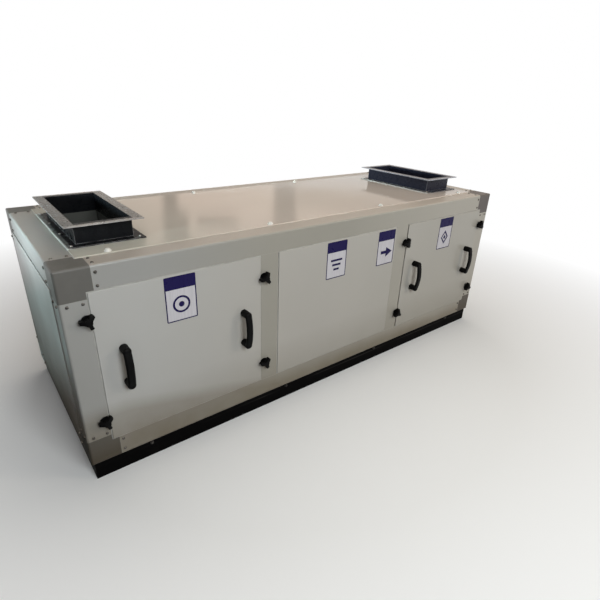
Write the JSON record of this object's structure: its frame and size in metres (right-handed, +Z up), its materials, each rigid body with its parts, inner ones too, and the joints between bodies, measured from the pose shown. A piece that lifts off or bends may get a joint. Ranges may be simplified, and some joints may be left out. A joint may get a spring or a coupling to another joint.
{
  "type": "air handling unit",
  "caption": "Long box-shaped air handling unit with a rail frame, insulated panels, lift-off access doors and flanged duct collars on its roof, on a channel base.",
  "frame": {"origin": "on the floor, under the middle of the casing, on the middle base cross member's underside", "axes": "+X along the casing to the right as seen from the doors, the doors face -Y, +Z up"},
  "size_m": [2.406, 0.99, 0.925],
  "materials": {
    "panel_coat": "satin off-white coil coating",
    "frame_coat": "satin off-white coating",
    "corner_grey": "fine-textured mid grey",
    "roof_coat": "glossy warm grey coil coating",
    "duct_paint": "semi-gloss black",
    "base_paint": "satin black",
    "black_plastic": "moulded black nylon",
    "screw_steel": "zinc plated",
    "cap_plastic": "white moulded caps",
    "sticker_film": "printed vinyl film",
    "door_seal": "pale grey foam strip"
  },
  "bodies": {
    "root": {"front_top_rail": "frame_coat", "front_bottom_rail": "frame_coat", "rear_top_rail": "frame_coat", "rear_bottom_rail": "frame_coat", "left_top_rail": "frame_coat", "left_bottom_rail": "frame_coat", "right_top_rail": "frame_coat", "right_bottom_rail": "frame_coat", "front_left_post": "frame_coat", "front_right_post": "frame_coat", "rear_left_post": "frame_coat", "rear_right_post": "frame_coat", "front_left_mullion": "frame_coat", "front_right_mullion": "frame_coat", "rear_left_mullion": "frame_coat", "rear_right_mullion": "frame_coat", "top_front_left_corner": "corner_grey", "top_front_right_corner": "corner_grey", "top_rear_left_corner": "corner_grey", "top_rear_right_corner": "corner_grey", "bottom_front_left_corner": "corner_grey", "bottom_front_right_corner": "corner_grey", "bottom_rear_left_corner": "corner_grey", "bottom_rear_right_corner": "corner_grey", "left_door": "panel_coat", "middle_panel": "panel_coat", "right_door": "panel_coat", "rear_left_panel": "panel_coat", "rear_middle_panel": "panel_coat", "rear_right_panel": "panel_coat", "left_end_panel": "panel_coat", "right_end_panel": "panel_coat", "roof_panel": "roof_coat", "floor_panel": "panel_coat", "left_collar": "duct_paint", "right_collar": "duct_paint", "left_door_handles": "black_plastic", "right_door_handles": "black_plastic", "left_door_knobs": "black_plastic", "right_door_knobs": "black_plastic", "base_front_rail": "base_paint", "base_rear_rail": "base_paint", "base_left_rail": "base_paint", "base_right_rail": "base_paint", "base_cross_members": "base_paint"}
  },
  "joints": []
}
